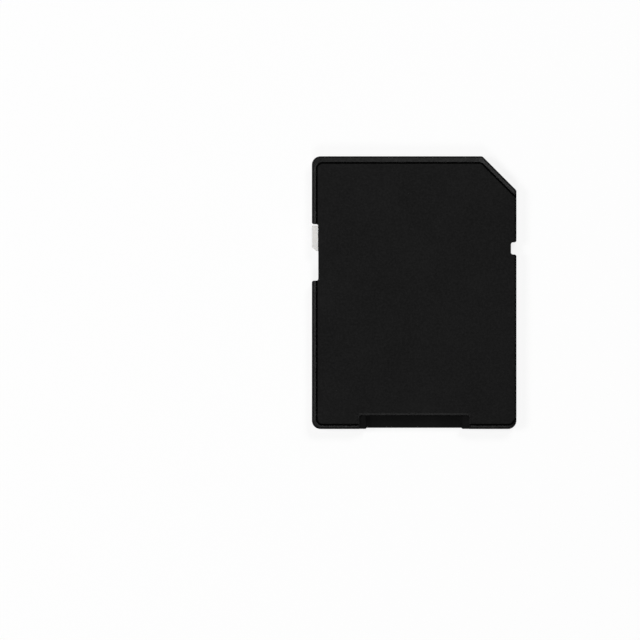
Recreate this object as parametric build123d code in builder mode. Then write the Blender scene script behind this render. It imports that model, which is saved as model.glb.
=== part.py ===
from build123d import *
import os
from math import radians, sqrt, tan

# Passive adapter that carries a micro memory card in the outline of a full-size memory card.
# It lies on its back: +Z is the bare front face, +Y is the leading edge with the contacts, and
# the cut key corner is at +X +Y. The origin is the middle of the back face. Sizes are in mm.

# Card envelope
card_width = 24.0
card_length = 32.0
card_thickness = 2.1
corner_radius = 1.0
key_corner = 4.0
key_corner_radius = 0.4

# Edges of the two moulded covers
lid_thickness = 0.55
front_bevel = 0.275
front_bevel_slope = 34.0
parting_bevel = 0.06
back_bevel = 0.12
leading_bevel = 0.3

# Steps along the long sides of the back, which leave the thin guide rails
rail_width = 0.75
rail_step = 0.7

# Notches in the long sides, each measured from the leading edge
lock_notch_start = 7.96
lock_notch_length = 6.63
lock_notch_depth = 0.75
side_notch_start = 10.1
side_notch_length = 1.42
side_notch_depth = 0.65
notch_radius = 0.25

# Border of the front face: a V groove, and a rim outside it that slopes down to the edge.
# The first five sizes are the distance of the groove's middle from the card's edges.
border_leading = 0.78
border_side = 0.57
border_trailing = 0.5
border_key = 0.63
border_runout = 2.2
border_radius = 0.7
rim_slope = 7.0
groove_width = 0.24
groove_depth = 0.3

# Thumb cut-out of the front cover, over the mouth of the slot
thumb_width = 12.9
thumb_depth = 1.64
thumb_radius = 0.25
thumb_bevel = 0.2
thumb_bevel_angle = 49.0

# Micro card that the slot takes
micro_width = 11.0
micro_length = 15.0
micro_nose_width = 9.7
micro_nose_length = 6.4
micro_catch = 8.5

# Slot for the micro card
slot_clearance = 0.1
mouth_flare = 0.08
mouth_setback = 0.11
mouth_bevel = 0.06

# Contact terminals, stamped from one thickness of strip
strip_thickness = 0.15
contact_recess = 0.7
pad_width = 1.7
pad_start = 1.0
pad_end = 5.4
first_pad_inset = 3.0
first_pad_start = 2.0
last_pad_inset = 1.75
last_pad_gap = 1.75
last_pad_width = 1.2
pad_radius = 0.15
window_margin = 0.1
window_end = 6.1
fan_start = 6.3
fan_run = 1.0
lead_width = 0.6
lead_radius = 0.5
beam_width = 0.5
beam_pitch = 1.1
beam_run = 0.3
beam_crown = 2.2
beam_tip = 0.75
beam_rise = 0.34
beam_radius = 0.45
beam_relief = 0.3
beam_relief_length = 3.9
strap_width = 0.7
strap_rise = 0.35
strap_radius = 0.12

# Hollow in the rear cover where the leads fan in
chamber_wall = 0.5
chamber_clearance = 1.0
chamber_radius = 0.4
stop_wall = 1.8
track_wall = 0.65

# Lock slider and its track
slider_length = 2.95
slider_gap = 0.2
slider_front_set = 0.1
slider_rear_set = 0.08
slider_wall_gap = 0.03
slider_nose_height = 0.42
slider_nose_width = 0.55
slider_edge_radius = 0.1
slider_neck_height = 0.45
slider_neck_depth = 0.7
slider_foot_depth = 0.7
slider_clearance = 0.05
grip_count = 3
grip_pitch = 0.5
grip_width = 0.16
grip_depth = 0.06
grip_inset = 0.25

# Latch spring for the micro card, bent from flat strip
latch_thickness = 0.12
latch_floor_gap = 0.05
latch_roof_gap = 0.1
latch_pocket_depth = 1.3
latch_pocket_length = 4.2
latch_foot_length = 1.4
latch_reach = 0.5
latch_radius = 0.35
latch_free_gap = 0.2

# Square pegs that line up the two covers
peg_width = 0.9
peg_height = 0.3
peg_clearance = 0.04
peg_spacing_x = 18.0
peg_spacing_y = 25.0

# Places worked out from the sizes above
half_width = card_width / 2
half_length = card_length / 2
parting = card_thickness - lid_thickness
lock_notch_top = half_length - lock_notch_start
lock_notch_y = lock_notch_top - lock_notch_length / 2
side_notch_y = half_length - side_notch_start - side_notch_length / 2
notch_wall = -half_width + lock_notch_depth

slot_half = micro_width / 2 + slot_clearance
slot_stop = -half_length + micro_length
slot_nose_x = -micro_width / 2 + micro_nose_width + slot_clearance
slot_nose_y = slot_stop - micro_nose_length + slot_clearance
slot_height = parting - contact_recess
mouth_half = slot_half + mouth_flare
thumb_top = -half_length + thumb_depth

# Pads in order from the key corner. Each has a terminal of its own, except that the ground
# terminal carries the far ground pad too. The last two pads lie in one window.
pad_names = [
    "data2",
    "data3",
    "command",
    "far_ground",
    "supply",
    "clock",
    "ground",
    "data0",
    "data1",
]
terminal_names = [name for name in pad_names if name != "far_ground"]
window_pads = [[name] for name in pad_names[:-2]] + [pad_names[-2:]]

full_pads = pad_names[:-1]
first_pad_x = half_width - first_pad_inset
last_pad_x = -half_width + last_pad_inset
pad_pitch = (first_pad_x - last_pad_x - last_pad_gap) / (len(full_pads) - 1)
pad_x = {name: first_pad_x - pad_pitch * place for place, name in enumerate(full_pads)}
pad_x["data1"] = last_pad_x
pad_widths = {name: pad_width for name in full_pads}
pad_widths["data1"] = last_pad_width
pad_tops = {name: half_length - pad_start for name in pad_names}
pad_tops["data2"] = half_length - first_pad_start
pad_bottom = half_length - pad_end
window_bottom = half_length - window_end

beam_middle = -micro_width / 2 + micro_nose_width / 2
beam_span = beam_pitch * (len(terminal_names) - 1)
beam_right = beam_middle + beam_span / 2
beam_left = beam_middle - beam_span / 2
beam_x = {name: beam_right - beam_pitch * place for place, name in enumerate(terminal_names)}
beam_root = slot_stop + stop_wall / 2
fan_top = half_length - fan_start
fan_bottom = slot_stop + stop_wall + fan_run
strip_middle = contact_recess + strip_thickness / 2

slider_top = lock_notch_top - slider_gap
slider_bottom = slider_top - slider_length
slider_y = slider_top - slider_length / 2
slider_floor = rail_step + slider_rear_set
slider_roof = card_thickness - slider_front_set
slider_thumb_depth = lock_notch_depth - slider_wall_gap
neck_roof = parting - slider_clearance
neck_floor = neck_roof - slider_neck_height
neck_end = -half_width + slider_thumb_depth + slider_neck_depth
foot_end = neck_end + slider_foot_depth
track_end = foot_end + slider_clearance

chamber_start = window_end + chamber_wall
chamber_top = half_length - chamber_start
chamber_bottom = slot_stop + stop_wall
chamber_left = track_end + track_wall
chamber_right = first_pad_x + chamber_clearance

latch_y = slot_stop - micro_catch
latch_wall = slot_half + latch_pocket_depth
latch_line = latch_wall - latch_thickness / 2
latch_height = slot_height - latch_floor_gap - latch_roof_gap
latch_pocket_bottom = latch_y - latch_pocket_length / 2
latch_pocket_top = latch_y + latch_pocket_length / 2


# Outline of the envelope, with the key corner
with BuildSketch() as envelope_outline:
    with BuildLine():
        FilletPolyline(
            (-half_width, -half_length),
            (half_width, -half_length),
            (half_width, half_length - key_corner),
            (half_width - key_corner, half_length),
            (-half_width, half_length),
            radius=[corner_radius, corner_radius, key_corner_radius, key_corner_radius, corner_radius],
            close=True,
        )
    make_face()

# Outline shared by both covers, with the two notches
with BuildSketch() as card_outline:
    add(envelope_outline.sketch)
    with Locations((-half_width, lock_notch_y)):
        Rectangle(2 * lock_notch_depth, lock_notch_length, mode=Mode.SUBTRACT)
    with Locations((half_width, side_notch_y)):
        Rectangle(2 * side_notch_depth, side_notch_length, mode=Mode.SUBTRACT)
    notch_corners = card_outline.vertices().filter_by_position(
        Axis.Y, -half_length + 2 * corner_radius, half_length - key_corner - corner_radius
    )
    fillet(notch_corners, notch_radius)

# Thumb cut-out, rounded at its inner corners and open past the trailing edge
with BuildSketch() as thumb_outline:
    with Locations((0, -half_length)):
        thumb_rectangle = Rectangle(thumb_width, 2 * thumb_depth)
    fillet(thumb_rectangle.vertices(), thumb_radius)


# Line of the border groove: in over the key corner, round the leading edge and the lock side,
# along the trailing edge, and out through the plain side just past the last corner
key_line = half_width + half_length - key_corner - border_key * sqrt(2)
with BuildLine(Plane.XY.offset(card_thickness)) as border_line:
    FilletPolyline(
        (half_width + border_key, key_line - half_width - border_key),
        (key_line - half_length + border_leading, half_length - border_leading),
        (-half_width + border_side, half_length - border_leading),
        (-half_width + border_side, -half_length + border_trailing),
        (half_width - border_side, -half_length + border_trailing),
        (half_width + border_side, -half_length + border_runout),
        radius=border_radius,
    )
rim_reach = 2 * max(border_leading, border_side, border_trailing, border_key)
border_start = Plane(
    origin=border_line.line @ 0,
    x_dir=(-1, -1, 0),
    z_dir=border_line.line % 0,
)

# Front cover: flat lid, bevelled round the envelope but not in the notches, with the sloped rim,
# the border groove and the thumb cut-out
with BuildPart() as front_cover:
    with BuildSketch(Plane.XY.offset(parting)):
        add(envelope_outline.sketch)
    extrude(amount=lid_thickness)
    lid_front = front_cover.faces().sort_by(Axis.Z)[-1]
    chamfer(lid_front.outer_wire().edges(), front_bevel, angle=front_bevel_slope, reference=lid_front)
    with BuildSketch(Plane.XY.offset(parting)):
        add(card_outline.sketch)
    extrude(amount=lid_thickness, mode=Mode.INTERSECT)
    lid_parting_edges = front_cover.faces().sort_by(Axis.Z)[0].outer_wire().edges()
    chamfer(lid_parting_edges, parting_bevel)
    with BuildSketch(border_start):
        with BuildLine():
            Polyline(
                (0, 0),
                (-rim_reach, -rim_reach * tan(radians(rim_slope))),
                (-rim_reach, lid_thickness),
                (0, lid_thickness),
                close=True,
            )
        make_face()
    sweep(path=border_line.wire(), mode=Mode.SUBTRACT)
    with BuildSketch(border_start):
        with BuildLine():
            Polyline(
                (0, -groove_depth),
                (groove_width, groove_depth),
                (-groove_width, groove_depth),
                close=True,
            )
        make_face()
    sweep(path=border_line.wire(), mode=Mode.SUBTRACT)
    with BuildSketch(Plane.XY.offset(parting)):
        add(thumb_outline.sketch)
    extrude(amount=lid_thickness, mode=Mode.SUBTRACT)
    with BuildSketch(Plane.XY.offset(card_thickness - thumb_bevel)):
        add(thumb_outline.sketch)
    extrude(amount=thumb_bevel, taper=-thumb_bevel_angle, mode=Mode.SUBTRACT)
    with BuildSketch(Plane.XY.offset(parting)):
        with GridLocations(peg_spacing_x, peg_spacing_y, 2, 2):
            Rectangle(peg_width + 2 * peg_clearance, peg_width + 2 * peg_clearance)
    extrude(amount=peg_height + peg_clearance, mode=Mode.SUBTRACT)

# Contact terminals: a pad, a lead that fans in and a spring beam, all of one strip. The ground
# terminal has a second pad, on a strap that steps over the two pads between.
terminals = []
for name in terminal_names:
    own_pads = [name, "far_ground"] if name == "ground" else [name]
    with BuildPart() as terminal:
        with BuildSketch(Plane.XY.offset(contact_recess)):
            for pad in own_pads:
                with Locations((pad_x[pad], (pad_tops[pad] + pad_bottom) / 2)):
                    RectangleRounded(pad_widths[pad], pad_tops[pad] - pad_bottom, pad_radius)
            with BuildLine():
                FilletPolyline(
                    (pad_x[name], pad_bottom + lead_width),
                    (pad_x[name], fan_top),
                    (beam_x[name], fan_bottom),
                    (beam_x[name], beam_root),
                    radius=lead_radius,
                )
            trace(line_width=lead_width)
        extrude(amount=strip_thickness)
        with BuildSketch(Plane.YZ.offset(beam_x[name] - beam_width / 2)):
            with BuildLine():
                FilletPolyline(
                    (beam_root + beam_width, strip_middle),
                    (slot_stop - beam_run, strip_middle),
                    (slot_stop - beam_crown, strip_middle + beam_rise),
                    (slot_stop - beam_crown - beam_tip, strip_middle),
                    radius=beam_radius,
                )
            trace(line_width=strip_thickness)
        extrude(amount=beam_width)
        if name == "ground":
            strap_left = pad_x[name] + pad_width / 2
            strap_right = pad_x["far_ground"] - pad_width / 2
            with BuildSketch(Plane.XZ.offset(pad_start - half_length)):
                with BuildLine():
                    FilletPolyline(
                        (strap_left - strap_width, strip_middle),
                        (strap_left, strip_middle),
                        (strap_left + strap_rise, strip_middle + strap_rise),
                        (strap_right - strap_rise, strip_middle + strap_rise),
                        (strap_right, strip_middle),
                        (strap_right + strap_width, strip_middle),
                        radius=strap_radius,
                    )
                trace(line_width=strip_thickness)
            extrude(amount=strap_width)
    terminal.part.label = f"terminal_{name}"
    terminals.append(terminal)

# Latch spring: its foot stands in a slit of the rear cover, and its bow reaches into the slot
with BuildPart() as card_latch_spring:
    with BuildSketch(Plane.XY.offset(contact_recess + latch_floor_gap)):
        with BuildLine():
            FilletPolyline(
                (latch_line, latch_pocket_bottom - latch_foot_length),
                (latch_line, latch_pocket_bottom + latch_thickness),
                (slot_half - latch_reach, latch_y),
                (latch_line - latch_free_gap, latch_pocket_top - latch_free_gap),
                radius=latch_radius,
            )
        trace(line_width=latch_thickness)
    extrude(amount=latch_height)

# Lock slider: a thumb piece in the notch, a neck through its wall and a foot behind a lip
with BuildPart() as lock_slider:
    with BuildSketch(Plane.XY.offset(slider_floor)):
        with BuildLine():
            Polyline(
                (-half_width, slider_top),
                (-half_width + slider_thumb_depth, slider_top),
                (-half_width + slider_thumb_depth, slider_bottom),
                (-half_width + slider_nose_width, slider_bottom),
                (-half_width, slider_bottom + slider_nose_height),
                close=True,
            )
        thumb_face = make_face()
        fillet(thumb_face.vertices().group_by(Axis.X)[0], slider_edge_radius)
    extrude(amount=slider_roof - slider_floor)
    thumb_edges = lock_slider.faces().sort_by(Axis.Z)[-1].edges().sort_by(Axis.X)
    fillet(thumb_edges[:-1], slider_edge_radius)
    with BuildSketch(Plane.XY.offset(neck_floor)):
        with Locations((neck_end, slider_y)):
            Rectangle(slider_neck_depth, slider_length, align=(Align.MAX, Align.CENTER))
    extrude(amount=slider_neck_height)
    with BuildSketch(Plane.XY.offset(slider_floor)):
        with Locations((foot_end, slider_y)):
            Rectangle(slider_foot_depth, slider_length, align=(Align.MAX, Align.CENTER))
    extrude(amount=neck_roof - slider_floor)
    with BuildSketch(Plane.XY.offset(slider_floor + grip_inset)):
        with Locations((-half_width, slider_y)):
            with GridLocations(grip_pitch, grip_pitch, 1, grip_count):
                Rectangle(2 * grip_depth, grip_width)
    extrude(amount=slider_roof - slider_floor - 2 * grip_inset, mode=Mode.SUBTRACT)

# Rear cover: moulded around the terminals, with the slot, the slider's track and the pegs
with BuildPart() as rear_cover:
    with BuildSketch():
        add(card_outline.sketch)
    extrude(amount=parting)
    base_parting_edges = rear_cover.faces().sort_by(Axis.Z)[-1].outer_wire().edges()
    chamfer(base_parting_edges, parting_bevel)
    with BuildSketch():
        with Locations((-half_width, 0), (half_width, 0)):
            Rectangle(2 * rail_width, card_length)
    extrude(amount=rail_step, mode=Mode.SUBTRACT)
    back_edges = rear_cover.faces().sort_by(Axis.Z)[0].outer_wire().edges()
    chamfer(back_edges.filter_by_position(Axis.Y, half_length - key_corner, half_length), leading_bevel)
    back_edges = rear_cover.faces().sort_by(Axis.Z)[0].outer_wire().edges()
    chamfer(back_edges.filter_by_position(Axis.Y, -half_length, half_length - key_corner), back_bevel)

    # Open windows over the pads, with a rib between each pair; the last two pads share one
    with BuildSketch():
        for pads in window_pads:
            window_right = max(pad_x[pad] + pad_widths[pad] / 2 for pad in pads)
            window_left = min(pad_x[pad] - pad_widths[pad] / 2 for pad in pads)
            with Locations(((window_left + window_right) / 2, window_bottom)):
                Rectangle(
                    window_right - window_left + 2 * window_margin,
                    window_end + leading_bevel,
                    align=(Align.CENTER, Align.MIN),
                )
    extrude(amount=contact_recess, mode=Mode.SUBTRACT)

    # Slot for the micro card, keyed by its narrow nose and flared at the mouth
    with BuildSketch(Plane.XY.offset(contact_recess)):
        with BuildLine():
            Polyline(
                (-mouth_half, -card_length),
                (mouth_half, -card_length),
                (mouth_half, thumb_top),
                (slot_half, thumb_top + mouth_flare),
                (slot_half, slot_nose_y - slot_half + slot_nose_x),
                (slot_nose_x, slot_nose_y),
                (slot_nose_x, slot_stop),
                (-slot_half, slot_stop),
                (-slot_half, thumb_top + mouth_flare),
                (-mouth_half, thumb_top),
                close=True,
            )
        make_face()
    extrude(amount=slot_height, mode=Mode.SUBTRACT)
    with BuildSketch():
        with BuildLine():
            Polyline(
                (-mouth_half, -half_length),
                (mouth_half, -half_length),
                (mouth_half - mouth_setback, -half_length + mouth_setback),
                (-mouth_half + mouth_setback, -half_length + mouth_setback),
                close=True,
            )
        make_face()
    extrude(amount=parting, mode=Mode.SUBTRACT)
    mouth_edges = rear_cover.edges().filter_by(Axis.X).filter_by_position(
        Axis.Z, contact_recess - parting_bevel, contact_recess + parting_bevel
    )
    chamfer(mouth_edges.sort_by(Axis.Y)[0], mouth_bevel)
    with BuildSketch(Plane.XY.offset(contact_recess - beam_relief)):
        with Locations((beam_middle, slot_stop)):
            Rectangle(
                beam_span + beam_pitch,
                beam_relief_length,
                align=(Align.CENTER, Align.MAX),
            )
    extrude(amount=beam_relief, mode=Mode.SUBTRACT)

    # Hollow that the leads cross, from the contact bar to the stop wall of the slot
    with BuildSketch(Plane.XY.offset(contact_recess)):
        with BuildLine():
            FilletPolyline(
                (chamber_left, chamber_top),
                (chamber_right, chamber_top),
                (beam_right + chamber_clearance, chamber_bottom),
                (beam_left - chamber_clearance, chamber_bottom),
                radius=chamber_radius,
                close=True,
            )
        make_face()
    extrude(amount=slot_height, mode=Mode.SUBTRACT)

    # Track for the slider's foot, and the gap in the notch wall for its neck
    with BuildSketch(Plane.XY.offset(slider_floor - slider_clearance)):
        with Locations((track_end, lock_notch_y)):
            Rectangle(
                slider_foot_depth + 2 * slider_clearance,
                lock_notch_length,
                align=(Align.MAX, Align.CENTER),
            )
    extrude(amount=parting - slider_floor + slider_clearance, mode=Mode.SUBTRACT)
    with BuildSketch(Plane.XY.offset(neck_floor - slider_clearance)):
        with Locations((neck_end, lock_notch_y)):
            Rectangle(
                2 * slider_neck_depth,
                lock_notch_length,
                align=(Align.MAX, Align.CENTER),
            )
    extrude(amount=parting - neck_floor + slider_clearance, mode=Mode.SUBTRACT)

    # Pocket for the latch spring, with the slit that grips its foot
    with BuildSketch(Plane.XY.offset(contact_recess)):
        with Locations((latch_wall, latch_y)):
            Rectangle(
                2 * latch_pocket_depth,
                latch_pocket_length,
                align=(Align.MAX, Align.CENTER),
            )
        with Locations((latch_wall, latch_pocket_bottom)):
            Rectangle(latch_thickness, latch_foot_length, align=(Align.MAX, Align.MAX))
    extrude(amount=slot_height, mode=Mode.SUBTRACT)

    with BuildSketch(Plane.XY.offset(parting)):
        with GridLocations(peg_spacing_x, peg_spacing_y, 2, 2):
            Rectangle(peg_width, peg_width)
    extrude(amount=peg_height)
    for terminal in terminals:
        add(terminal.part, mode=Mode.SUBTRACT)

front_cover.part.label = "front_cover"
rear_cover.part.label = "rear_cover"
lock_slider.part.label = "lock_slider"
card_latch_spring.part.label = "card_latch_spring"

os.makedirs("parts", exist_ok=True)
for piece in [front_cover, rear_cover, lock_slider, card_latch_spring] + terminals:
    export_step(piece.part, f"parts/{piece.part.label}.step")
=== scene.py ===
import math

import bmesh
import bpy
from bpy.props import FloatProperty, FloatVectorProperty, IntProperty, PointerProperty
from bpy.types import Operator, Panel, PropertyGroup
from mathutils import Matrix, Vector


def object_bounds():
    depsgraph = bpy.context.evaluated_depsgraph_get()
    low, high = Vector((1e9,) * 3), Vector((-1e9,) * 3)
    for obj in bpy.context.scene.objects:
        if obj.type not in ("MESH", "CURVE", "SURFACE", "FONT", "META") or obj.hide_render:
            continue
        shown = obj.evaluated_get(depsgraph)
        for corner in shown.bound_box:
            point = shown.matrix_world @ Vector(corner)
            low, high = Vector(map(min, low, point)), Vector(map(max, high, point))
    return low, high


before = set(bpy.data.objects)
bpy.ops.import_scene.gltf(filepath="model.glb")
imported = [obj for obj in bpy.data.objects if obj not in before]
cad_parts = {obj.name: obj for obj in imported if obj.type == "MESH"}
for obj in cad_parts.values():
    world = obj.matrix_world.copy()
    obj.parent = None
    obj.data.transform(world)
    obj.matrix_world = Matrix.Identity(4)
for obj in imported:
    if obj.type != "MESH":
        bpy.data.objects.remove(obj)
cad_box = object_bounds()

bl_info = {
    "name": "Memory card adapter",
    "version": (1, 0, 0),
    "blender": (4, 5, 0),
    "location": "3D View > Sidebar > Card adapter",
    "description": "Finishes and studio stage for an adapter that carries a micro memory card",
    "category": "3D View",
}

# Millimetres and micrometres in the scene's metres
MM = 1e-3
UM = 1e-6

FRONT_NODE = "front_cover"
REAR_NODE = "rear_cover"
SLIDER_NODE = "lock_slider"
LATCH_NODE = "card_latch_spring"
TERMINAL_NODES = sorted(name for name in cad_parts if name.startswith("terminal_"))

# How strongly each plastic bends light
ABS_IOR = 1.53
ACETAL_IOR = 1.48

# How far red, green and blue light go into acetal, against each other
WAX_REACH = (1.0, 0.9, 0.8)

# Levels between which a noise pattern lies nearly everywhere
NOISE_LOW = 0.3
NOISE_HIGH = 0.7

# Studio lamps: name, direction from the card in degrees anticlockwise from +X, height above the
# floor in degrees, and light on the floor as a share of the level that shows colours as written
LAMPS = (
    ("lock_side_lamp", 175.0, 54.0, 0.31),
    ("key_corner_lamp", 62.0, 54.0, 0.28),
    ("trailing_edge_lamp", 265.0, 54.0, 0.20),
)


def linear(hex_colour):
    """Turn an sRGB hex colour into linear red, green and blue."""
    channels = [int(hex_colour[start:start + 2], 16) / 255 for start in (1, 3, 5)]
    return tuple(
        value / 12.92 if value <= 0.04045 else ((value + 0.055) / 1.055) ** 2.4
        for value in channels
    )


class CoverFinish(PropertyGroup):
    """Moulded plastic of the two covers."""

    colour: FloatVectorProperty(
        name="Colour",
        description="Colour of the plastic itself",
        subtype="COLOR",
        size=3,
        min=0.0,
        max=1.0,
        default=linear("#080808"),
    )
    flow_colour: FloatVectorProperty(
        name="Flow colour",
        description="Slightly paler colour where the plastic flowed as the mould filled",
        subtype="COLOR",
        size=3,
        min=0.0,
        max=1.0,
        default=linear("#0d0d0d"),
    )
    flow_size: FloatProperty(
        name="Flow size",
        description="Width of the faint clouds left by the flow",
        unit="LENGTH",
        precision=6,
        default=4.0 * MM,
    )
    front_roughness: FloatProperty(
        name="Front roughness",
        description="Mean roughness of the front cover",
        subtype="FACTOR",
        min=0.0,
        max=1.0,
        default=0.24,
    )
    rear_roughness: FloatProperty(
        name="Rear roughness",
        description="Mean roughness of the rear cover, which comes from a smoother mould",
        subtype="FACTOR",
        min=0.0,
        max=1.0,
        default=0.17,
    )
    roughness_spread: FloatProperty(
        name="Roughness spread",
        description="How far the grain takes the roughness to either side of its mean",
        subtype="FACTOR",
        min=0.0,
        max=1.0,
        default=0.026,
    )
    grain_width: FloatProperty(
        name="Grain width",
        description="Width of the pits that the mould leaves",
        unit="LENGTH",
        precision=6,
        default=0.24 * MM,
    )
    grain_depth: FloatProperty(
        name="Grain depth",
        description="Depth of the pits that the mould leaves",
        unit="LENGTH",
        precision=6,
        default=2.0 * UM,
    )


class SliderFinish(PropertyGroup):
    """Moulded plastic of the lock slider."""

    colour: FloatVectorProperty(
        name="Colour",
        description="Colour of the slider",
        subtype="COLOR",
        size=3,
        min=0.0,
        max=1.0,
        default=linear("#d6d5d3"),
    )
    cloud_colour: FloatVectorProperty(
        name="Cloud colour",
        description="Slightly deeper colour of the clouds in the plastic",
        subtype="COLOR",
        size=3,
        min=0.0,
        max=1.0,
        default=linear("#d2d1cf"),
    )
    cloud_size: FloatProperty(
        name="Cloud size",
        description="Width of the clouds in the plastic",
        unit="LENGTH",
        precision=6,
        default=0.9 * MM,
    )
    roughness: FloatProperty(
        name="Roughness",
        description="Mean roughness of the slider",
        subtype="FACTOR",
        min=0.0,
        max=1.0,
        default=0.38,
    )
    roughness_spread: FloatProperty(
        name="Roughness spread",
        description="How far the clouds take the roughness to either side of its mean",
        subtype="FACTOR",
        min=0.0,
        max=1.0,
        default=0.05,
    )
    wax_share: FloatProperty(
        name="Wax share",
        description="Share of the light that goes into the waxy plastic before it comes back",
        subtype="FACTOR",
        min=0.0,
        max=1.0,
        default=0.15,
    )
    wax_depth: FloatProperty(
        name="Wax depth",
        description="How far that light goes in",
        unit="LENGTH",
        precision=6,
        default=0.25 * MM,
    )


class TerminalFinish(PropertyGroup):
    """Gold plate of the contact terminals."""

    colour: FloatVectorProperty(
        name="Colour",
        description="Colour of the plate",
        subtype="COLOR",
        size=3,
        min=0.0,
        max=1.0,
        default=linear("#e3bf72"),
    )
    line_colour: FloatVectorProperty(
        name="Line colour",
        description="Slightly deeper colour in the rolling lines of the strip under the plate",
        subtype="COLOR",
        size=3,
        min=0.0,
        max=1.0,
        default=linear("#d9b366"),
    )
    line_width: FloatProperty(
        name="Line width",
        description="Width of the rolling lines",
        unit="LENGTH",
        precision=6,
        default=0.06 * MM,
    )
    line_length: FloatProperty(
        name="Line length",
        description="Length of the rolling lines",
        unit="LENGTH",
        precision=6,
        default=4.0 * MM,
    )
    line_depth: FloatProperty(
        name="Line depth",
        description="Depth of the rolling lines",
        unit="LENGTH",
        precision=6,
        default=0.6 * UM,
    )
    roughness: FloatProperty(
        name="Roughness",
        description="Mean roughness of the plate",
        subtype="FACTOR",
        min=0.0,
        max=1.0,
        default=0.24,
    )
    roughness_spread: FloatProperty(
        name="Roughness spread",
        description="How far the lines take the roughness to either side of its mean",
        subtype="FACTOR",
        min=0.0,
        max=1.0,
        default=0.05,
    )


class LatchFinish(PropertyGroup):
    """Stainless strip of the latch spring."""

    colour: FloatVectorProperty(
        name="Colour",
        description="Colour of the steel",
        subtype="COLOR",
        size=3,
        min=0.0,
        max=1.0,
        default=linear("#bdbbb7"),
    )
    line_colour: FloatVectorProperty(
        name="Line colour",
        description="Deeper colour in the rolling lines of the strip",
        subtype="COLOR",
        size=3,
        min=0.0,
        max=1.0,
        default=linear("#aba9a6"),
    )
    line_width: FloatProperty(
        name="Line width",
        description="Width of the rolling lines",
        unit="LENGTH",
        precision=6,
        default=0.08 * MM,
    )
    line_length: FloatProperty(
        name="Line length",
        description="Length of the rolling lines",
        unit="LENGTH",
        precision=6,
        default=4.0 * MM,
    )
    line_depth: FloatProperty(
        name="Line depth",
        description="Depth of the rolling lines",
        unit="LENGTH",
        precision=6,
        default=1.2 * UM,
    )
    roughness: FloatProperty(
        name="Roughness",
        description="Mean roughness of the rolled strip",
        subtype="FACTOR",
        min=0.0,
        max=1.0,
        default=0.3,
    )
    roughness_spread: FloatProperty(
        name="Roughness spread",
        description="How far the lines take the roughness to either side of its mean",
        subtype="FACTOR",
        min=0.0,
        max=1.0,
        default=0.07,
    )


class StageSettings(PropertyGroup):
    """White floor, soft lamps and the camera over the card."""

    floor_colour: FloatVectorProperty(
        name="Floor colour",
        description="Colour of the seamless paper",
        subtype="COLOR",
        size=3,
        min=0.0,
        max=1.0,
        default=linear("#f2f2f2"),
    )
    white_share: FloatProperty(
        name="White share",
        description="Share of plain white in the floor as it is seen, the rest being its lit paper",
        subtype="FACTOR",
        min=0.0,
        max=1.0,
        default=0.84,
    )
    floor_radius: FloatProperty(
        name="Floor radius",
        description="Radius of the flat part of the floor",
        unit="LENGTH",
        default=0.9,
    )
    floor_steps: IntProperty(
        name="Floor steps",
        description="Number of sides of the round floor",
        min=12,
        default=96,
    )
    floor_gap: FloatProperty(
        name="Floor gap",
        description="Gap under the card, so that its back and the floor don't lie in one plane",
        unit="LENGTH",
        precision=6,
        default=0.02 * MM,
    )
    sweep_radius: FloatProperty(
        name="Sweep radius",
        description="Radius of the curve by which the paper rises all round",
        unit="LENGTH",
        default=0.06,
    )
    sweep_steps: IntProperty(
        name="Sweep steps",
        description="Number of steps in that curve",
        min=3,
        default=12,
    )
    lamp_level: FloatProperty(
        name="Lamp level",
        description="Level of all the lamps together, where 1 leaves each at its own share",
        min=0.0,
        default=1.0,
    )
    lamp_distance: FloatProperty(
        name="Lamp distance",
        description="Distance of the lamps from the card",
        unit="LENGTH",
        default=0.62,
    )
    lamp_size: FloatProperty(
        name="Lamp size",
        description="Side of the square lamps",
        unit="LENGTH",
        default=0.18,
    )
    fill_level: FloatProperty(
        name="Fill level",
        description="Even light from all round",
        min=0.0,
        default=0.05,
    )
    camera_height: FloatProperty(
        name="Camera height",
        description="Height of the camera over the card's front face",
        unit="LENGTH",
        default=0.6,
    )
    view_width: FloatProperty(
        name="View width",
        description="Width of the view at the card's front face",
        unit="LENGTH",
        precision=5,
        default=75.07 * MM,
    )
    view_centre: FloatVectorProperty(
        name="View centre",
        description="Point of the floor under the camera, from the middle of the card",
        subtype="TRANSLATION",
        unit="LENGTH",
        size=2,
        precision=5,
        default=(-11.05 * MM, -3.21 * MM),
    )


def add_node(tree, kind, settings, links, stops=()):
    """Add a node with its options, input values, links and, on a colour ramp, its stops."""
    node = tree.nodes.new(kind)
    for name, value in settings.items():
        if hasattr(node, name):
            setattr(node, name, value)
        else:
            node.inputs[name].default_value = value
    for name, source in links.items():
        tree.links.new(source, node.inputs[name])
    for place, (position, colour) in enumerate(stops):
        node.color_ramp.elements[place].position = position
        node.color_ramp.elements[place].color = opaque(colour)
    return node


def opaque(colour):
    """Add full opacity to a colour."""
    return (*colour, 1.0)


def new_material(name):
    """Make an empty material and give it back with its node tree."""
    material = bpy.data.materials.new(name)
    material.use_nodes = True
    material.node_tree.nodes.clear()
    return material, material.node_tree


def put_on(material, node_names):
    """Give CAD nodes a material, which takes the place of their plain one."""
    missing = [name for name in node_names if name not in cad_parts]
    if missing or not node_names:
        raise RuntimeError(f"{material.name} has no CAD node to go on: {missing}")
    for name in node_names:
        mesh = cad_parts[name].data
        mesh.materials.clear()
        mesh.materials.append(material)


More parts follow.
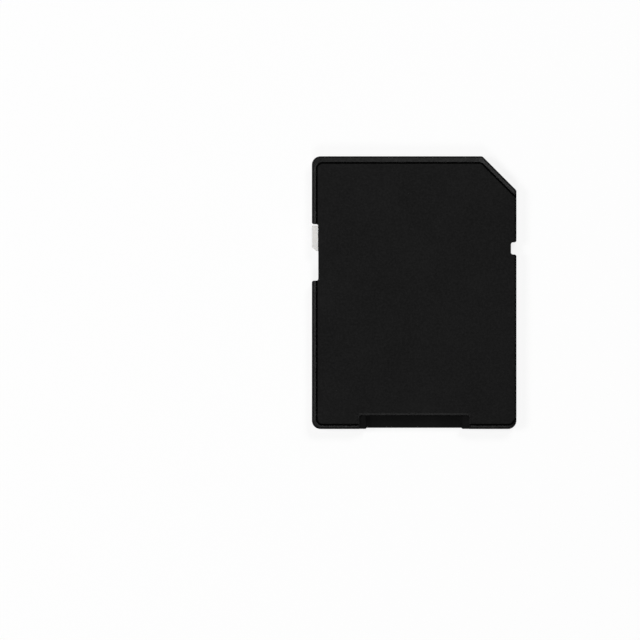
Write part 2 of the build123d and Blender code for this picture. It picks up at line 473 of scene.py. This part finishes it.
def moulded_abs(name, finish, roughness):
    """Black ABS from a spark-eroded mould.

    The eye sees a deep, even black with a soft satin sheen. A fine pitted grain breaks the sheen
    up, and faint clouds remain where the plastic flowed in.
    """
    material, tree = new_material(name)
    place = add_node(tree, "ShaderNodeTexCoord", {}, {})
    clouds = add_node(
        tree,
        "ShaderNodeTexNoise",
        {"Scale": 1 / finish.flow_size, "Detail": 4.0, "Roughness": 0.55},
        {"Vector": place.outputs["Object"]},
    )
    colours = add_node(
        tree,
        "ShaderNodeValToRGB",
        {},
        {"Fac": clouds.outputs["Fac"]},
        [(NOISE_LOW, finish.colour), (NOISE_HIGH, finish.flow_colour)],
    )

    # Real spark-eroded pits are about 0.05 mm wide and 2 µm deep. That is under half a pixel of
    # the render, so they are drawn about five times as wide to show.
    grain = add_node(
        tree,
        "ShaderNodeTexNoise",
        {"Scale": 1 / finish.grain_width, "Detail": 2.0, "Roughness": 0.6},
        {"Vector": place.outputs["Object"]},
    )
    gloss = add_node(
        tree,
        "ShaderNodeMapRange",
        {
            "From Min": NOISE_LOW,
            "From Max": NOISE_HIGH,
            "To Min": roughness - finish.roughness_spread,
            "To Max": roughness + finish.roughness_spread,
        },
        {"Value": grain.outputs["Fac"]},
    )
    pits = add_node(
        tree,
        "ShaderNodeBump",
        {"Distance": finish.grain_depth},
        {"Height": grain.outputs["Fac"]},
    )
    surface = add_node(
        tree,
        "ShaderNodeBsdfPrincipled",
        {"IOR": ABS_IOR},
        {
            "Base Color": colours.outputs["Color"],
            "Roughness": gloss.outputs["Result"],
            "Normal": pits.outputs["Normal"],
        },
    )
    add_node(tree, "ShaderNodeOutputMaterial", {}, {"Surface": surface.outputs["BSDF"]})
    return material


def moulded_acetal(finish):
    """Pale acetal from a polished mould.

    The eye sees an even off-white with a waxy depth, and a low gloss that differs a little from
    place to place.
    """
    material, tree = new_material("moulded_pale_acetal")
    place = add_node(tree, "ShaderNodeTexCoord", {}, {})
    clouds = add_node(
        tree,
        "ShaderNodeTexNoise",
        {"Scale": 1 / finish.cloud_size, "Detail": 3.0},
        {"Vector": place.outputs["Object"]},
    )
    colours = add_node(
        tree,
        "ShaderNodeValToRGB",
        {},
        {"Fac": clouds.outputs["Fac"]},
        [(NOISE_LOW, finish.cloud_colour), (NOISE_HIGH, finish.colour)],
    )
    gloss = add_node(
        tree,
        "ShaderNodeMapRange",
        {
            "From Min": NOISE_LOW,
            "From Max": NOISE_HIGH,
            "To Min": finish.roughness - finish.roughness_spread,
            "To Max": finish.roughness + finish.roughness_spread,
        },
        {"Value": clouds.outputs["Fac"]},
    )
    surface = add_node(
        tree,
        "ShaderNodeBsdfPrincipled",
        {
            "IOR": ACETAL_IOR,
            "Subsurface Weight": finish.wax_share,
            "Subsurface Scale": finish.wax_depth,
            "Subsurface Radius": WAX_REACH,
        },
        {"Base Color": colours.outputs["Color"], "Roughness": gloss.outputs["Result"]},
    )
    add_node(tree, "ShaderNodeOutputMaterial", {}, {"Surface": surface.outputs["BSDF"]})
    return material


def rolled_strip(name, finish):
    """Bright metal strip, rolled, with fine lines along the card.

    Real rolling lines are one or two hundredths of a millimetre wide, so they are drawn several
    times as wide to show.
    """
    material, tree = new_material(name)
    place = add_node(tree, "ShaderNodeTexCoord", {}, {})
    along = add_node(
        tree,
        "ShaderNodeMapping",
        {"Scale": (1 / finish.line_width, 1 / finish.line_length, 1 / finish.line_width)},
        {"Vector": place.outputs["Object"]},
    )
    lines = add_node(
        tree,
        "ShaderNodeTexNoise",
        {"Scale": 1.0, "Detail": 2.0, "Roughness": 0.6},
        {"Vector": along.outputs["Vector"]},
    )
    colours = add_node(
        tree,
        "ShaderNodeValToRGB",
        {},
        {"Fac": lines.outputs["Fac"]},
        [(NOISE_LOW, finish.line_colour), (NOISE_HIGH, finish.colour)],
    )
    gloss = add_node(
        tree,
        "ShaderNodeMapRange",
        {
            "From Min": NOISE_LOW,
            "From Max": NOISE_HIGH,
            "To Min": finish.roughness + finish.roughness_spread,
            "To Max": finish.roughness - finish.roughness_spread,
        },
        {"Value": lines.outputs["Fac"]},
    )
    ridges = add_node(
        tree,
        "ShaderNodeBump",
        {"Distance": finish.line_depth},
        {"Height": lines.outputs["Fac"]},
    )
    surface = add_node(
        tree,
        "ShaderNodeBsdfPrincipled",
        {"Metallic": 1.0},
        {
            "Base Color": colours.outputs["Color"],
            "Roughness": gloss.outputs["Result"],
            "Normal": ridges.outputs["Normal"],
        },
    )
    add_node(tree, "ShaderNodeOutputMaterial", {}, {"Surface": surface.outputs["BSDF"]})
    return material


def seamless_paper(stage):
    """Matte white studio paper.

    The eye sees plain white, with the soft shadow of the card. As the camera, a glossy surface or
    a clear one sees it, most of it is plain white and the rest is the lit paper. From below it is
    clear, so that the card's back shows.
    """
    material, tree = new_material("matte_white_paper")
    paper = add_node(tree, "ShaderNodeBsdfDiffuse", {"Color": opaque(stage.floor_colour)}, {})
    white = add_node(tree, "ShaderNodeEmission", {"Strength": 1.0}, {})
    clear = add_node(tree, "ShaderNodeBsdfTransparent", {}, {})
    side = add_node(tree, "ShaderNodeNewGeometry", {}, {})
    ray = add_node(tree, "ShaderNodeLightPath", {}, {})
    mirrored = add_node(
        tree,
        "ShaderNodeMath",
        {"operation": "MAXIMUM"},
        {0: ray.outputs["Is Glossy Ray"], 1: ray.outputs["Is Transmission Ray"]},
    )
    seen = add_node(
        tree,
        "ShaderNodeMath",
        {"operation": "MAXIMUM"},
        {0: ray.outputs["Is Camera Ray"], 1: mirrored.outputs["Value"]},
    )
    share = add_node(
        tree,
        "ShaderNodeMapRange",
        {"To Max": stage.white_share},
        {"Value": seen.outputs["Value"]},
    )
    look = add_node(
        tree,
        "ShaderNodeMixShader",
        {},
        {0: share.outputs["Result"], 1: paper.outputs["BSDF"], 2: white.outputs["Emission"]},
    )
    one_sided = add_node(
        tree,
        "ShaderNodeMixShader",
        {},
        {0: side.outputs["Backfacing"], 1: look.outputs["Shader"], 2: clear.outputs["BSDF"]},
    )
    add_node(tree, "ShaderNodeOutputMaterial", {}, {"Surface": one_sided.outputs["Shader"]})
    return material


def lay_floor(stage):
    """Lay a round floor whose paper curves up all round."""
    profile = [Vector((0.0, 0.0, 0.0))]
    for step in range(stage.sweep_steps + 1):
        turn = math.pi / 2 * step / stage.sweep_steps
        out = stage.floor_radius + stage.sweep_radius * math.sin(turn)
        profile.append(Vector((out, 0.0, stage.sweep_radius * (1 - math.cos(turn)))))
    shape = bmesh.new()
    points = [shape.verts.new(point) for point in profile]
    edges = [shape.edges.new(pair) for pair in zip(points, points[1:])]
    bmesh.ops.spin(
        shape,
        geom=points + edges,
        cent=(0.0, 0.0, 0.0),
        axis=(0.0, 0.0, 1.0),
        angle=2 * math.pi,
        steps=stage.floor_steps,
        use_merge=True,
    )
    bmesh.ops.remove_doubles(shape, verts=shape.verts, dist=1 * UM)
    for face in shape.faces:
        face.smooth = True
    mesh = bpy.data.meshes.new("studio_floor")
    shape.to_mesh(mesh)
    shape.free()
    mesh.materials.append(seamless_paper(stage))
    floor = bpy.data.objects.new("studio_floor", mesh)
    floor.location.z = cad_box[0].z - stage.floor_gap
    bpy.context.scene.collection.objects.link(floor)


def hang_lamps(stage):
    """Hang the square lamps round the card, each aimed at its middle."""
    middle = (cad_box[0] + cad_box[1]) / 2
    for name, turn, height, share in LAMPS:
        around = math.radians(turn)
        above = math.radians(height)
        out = Vector(
            (
                math.cos(around) * math.cos(above),
                math.sin(around) * math.cos(above),
                math.sin(above),
            )
        )
        lamp = bpy.data.lights.new(name, "AREA")
        lamp.shape = "SQUARE"
        lamp.size = stage.lamp_size
        # A flat lamp is as bright as a quarter of its power over its area, so this power puts its
        # share on the floor.
        lamp.energy = 4 * math.pi * share * stage.lamp_level * stage.lamp_distance**2 / out.z
        holder = bpy.data.objects.new(name, lamp)
        holder.location = middle + out * stage.lamp_distance
        holder.rotation_mode = "QUATERNION"
        holder.rotation_quaternion = out.to_track_quat("Z", "Y")
        bpy.context.scene.collection.objects.link(holder)


def light_all_round(stage):
    """Light the scene evenly and faintly from all round.

    The camera and clear surfaces see plain white there. Mirrored rays see it dim, because black
    plastic under a white ceiling would look grey.
    """
    world = bpy.data.worlds.new("dim_studio")
    world.use_nodes = True
    tree = world.node_tree
    tree.nodes.clear()
    ray = add_node(tree, "ShaderNodeLightPath", {}, {})
    seen = add_node(
        tree,
        "ShaderNodeMath",
        {"operation": "MAXIMUM"},
        {0: ray.outputs["Is Camera Ray"], 1: ray.outputs["Is Transmission Ray"]},
    )
    level = add_node(
        tree,
        "ShaderNodeMapRange",
        {"To Min": stage.fill_level, "To Max": 1.0},
        {"Value": seen.outputs["Value"]},
    )
    surround = add_node(
        tree,
        "ShaderNodeBackground",
        {"Color": (1.0, 1.0, 1.0, 1.0)},
        {"Strength": level.outputs["Result"]},
    )
    add_node(tree, "ShaderNodeOutputWorld", {}, {"Surface": surround.outputs["Background"]})
    bpy.context.scene.world = world


def aim_camera(stage):
    """Hold the camera straight over the card, as the photograph was taken."""
    lens = bpy.data.cameras.new("overhead_camera")
    lens.lens = lens.sensor_width * stage.camera_height / stage.view_width
    camera = bpy.data.objects.new("overhead_camera", lens)
    camera.location = (*stage.view_centre, cad_box[1].z + stage.camera_height)
    bpy.context.scene.collection.objects.link(camera)
    bpy.context.scene.camera = camera


class CARD_OT_dress_covers(Operator):
    """Give both covers their moulded black finish"""

    bl_idname = "card.dress_covers"
    bl_label = "Dress covers"

    def execute(self, context):
        finish = context.scene.card_covers
        front = moulded_abs("moulded_black_abs_front", finish, finish.front_roughness)
        put_on(front, [FRONT_NODE])
        rear = moulded_abs("moulded_black_abs_rear", finish, finish.rear_roughness)
        put_on(rear, [REAR_NODE])
        return {"FINISHED"}


class CARD_OT_dress_slider(Operator):
    """Give the lock slider its pale waxy finish"""

    bl_idname = "card.dress_slider"
    bl_label = "Dress slider"

    def execute(self, context):
        put_on(moulded_acetal(context.scene.card_slider), [SLIDER_NODE])
        return {"FINISHED"}


class CARD_OT_dress_terminals(Operator):
    """Give the contact terminals their gold plate"""

    bl_idname = "card.dress_terminals"
    bl_label = "Dress terminals"

    def execute(self, context):
        # Gold plate over stamped copper alloy: warm and bright, with the strip's lines under it.
        plate = rolled_strip("gold_plated_strip", context.scene.card_terminals)
        put_on(plate, TERMINAL_NODES)
        return {"FINISHED"}


class CARD_OT_dress_latch(Operator):
    """Give the latch spring its rolled steel finish"""

    bl_idname = "card.dress_latch"
    bl_label = "Dress latch spring"

    def execute(self, context):
        # Rolled stainless strip: neutral grey and satin, with lines along it.
        steel = rolled_strip("rolled_stainless_strip", context.scene.card_latch)
        put_on(steel, [LATCH_NODE])
        return {"FINISHED"}


class CARD_OT_set_stage(Operator):
    """Lay the floor, hang the lamps and aim the camera"""

    bl_idname = "card.set_stage"
    bl_label = "Set stage"

    def execute(self, context):
        stage = context.scene.card_stage
        lay_floor(stage)
        hang_lamps(stage)
        light_all_round(stage)
        aim_camera(stage)
        context.scene.view_settings.view_transform = "Standard"
        return {"FINISHED"}


# Settings on the scene, and the operators that use them, in the order of the work
STEPS = (
    ("card_covers", CoverFinish, CARD_OT_dress_covers),
    ("card_slider", SliderFinish, CARD_OT_dress_slider),
    ("card_terminals", TerminalFinish, CARD_OT_dress_terminals),
    ("card_latch", LatchFinish, CARD_OT_dress_latch),
    ("card_stage", StageSettings, CARD_OT_set_stage),
)


class CARD_PT_adapter(Panel):
    """Finishes and stage of the card adapter"""

    bl_idname = "CARD_PT_adapter"
    bl_label = "Card adapter"
    bl_space_type = "VIEW_3D"
    bl_region_type = "UI"
    bl_category = "Card adapter"

    def draw(self, context):
        for name, group, operator in STEPS:
            box = self.layout.box()
            for setting in group.__annotations__:
                box.prop(getattr(context.scene, name), setting)
            box.operator(operator.bl_idname)


def register():
    for name, group, operator in STEPS:
        bpy.utils.register_class(group)
        bpy.utils.register_class(operator)
        setattr(bpy.types.Scene, name, PointerProperty(type=group))
    bpy.utils.register_class(CARD_PT_adapter)


def unregister():
    bpy.utils.unregister_class(CARD_PT_adapter)
    for name, group, operator in reversed(STEPS):
        delattr(bpy.types.Scene, name)
        bpy.utils.unregister_class(operator)
        bpy.utils.unregister_class(group)


def main():
    register()
    bpy.ops.card.dress_covers()
    bpy.ops.card.dress_slider()
    bpy.ops.card.dress_terminals()
    bpy.ops.card.dress_latch()
    bpy.ops.card.set_stage()


if __name__ == "__main__":
    main()
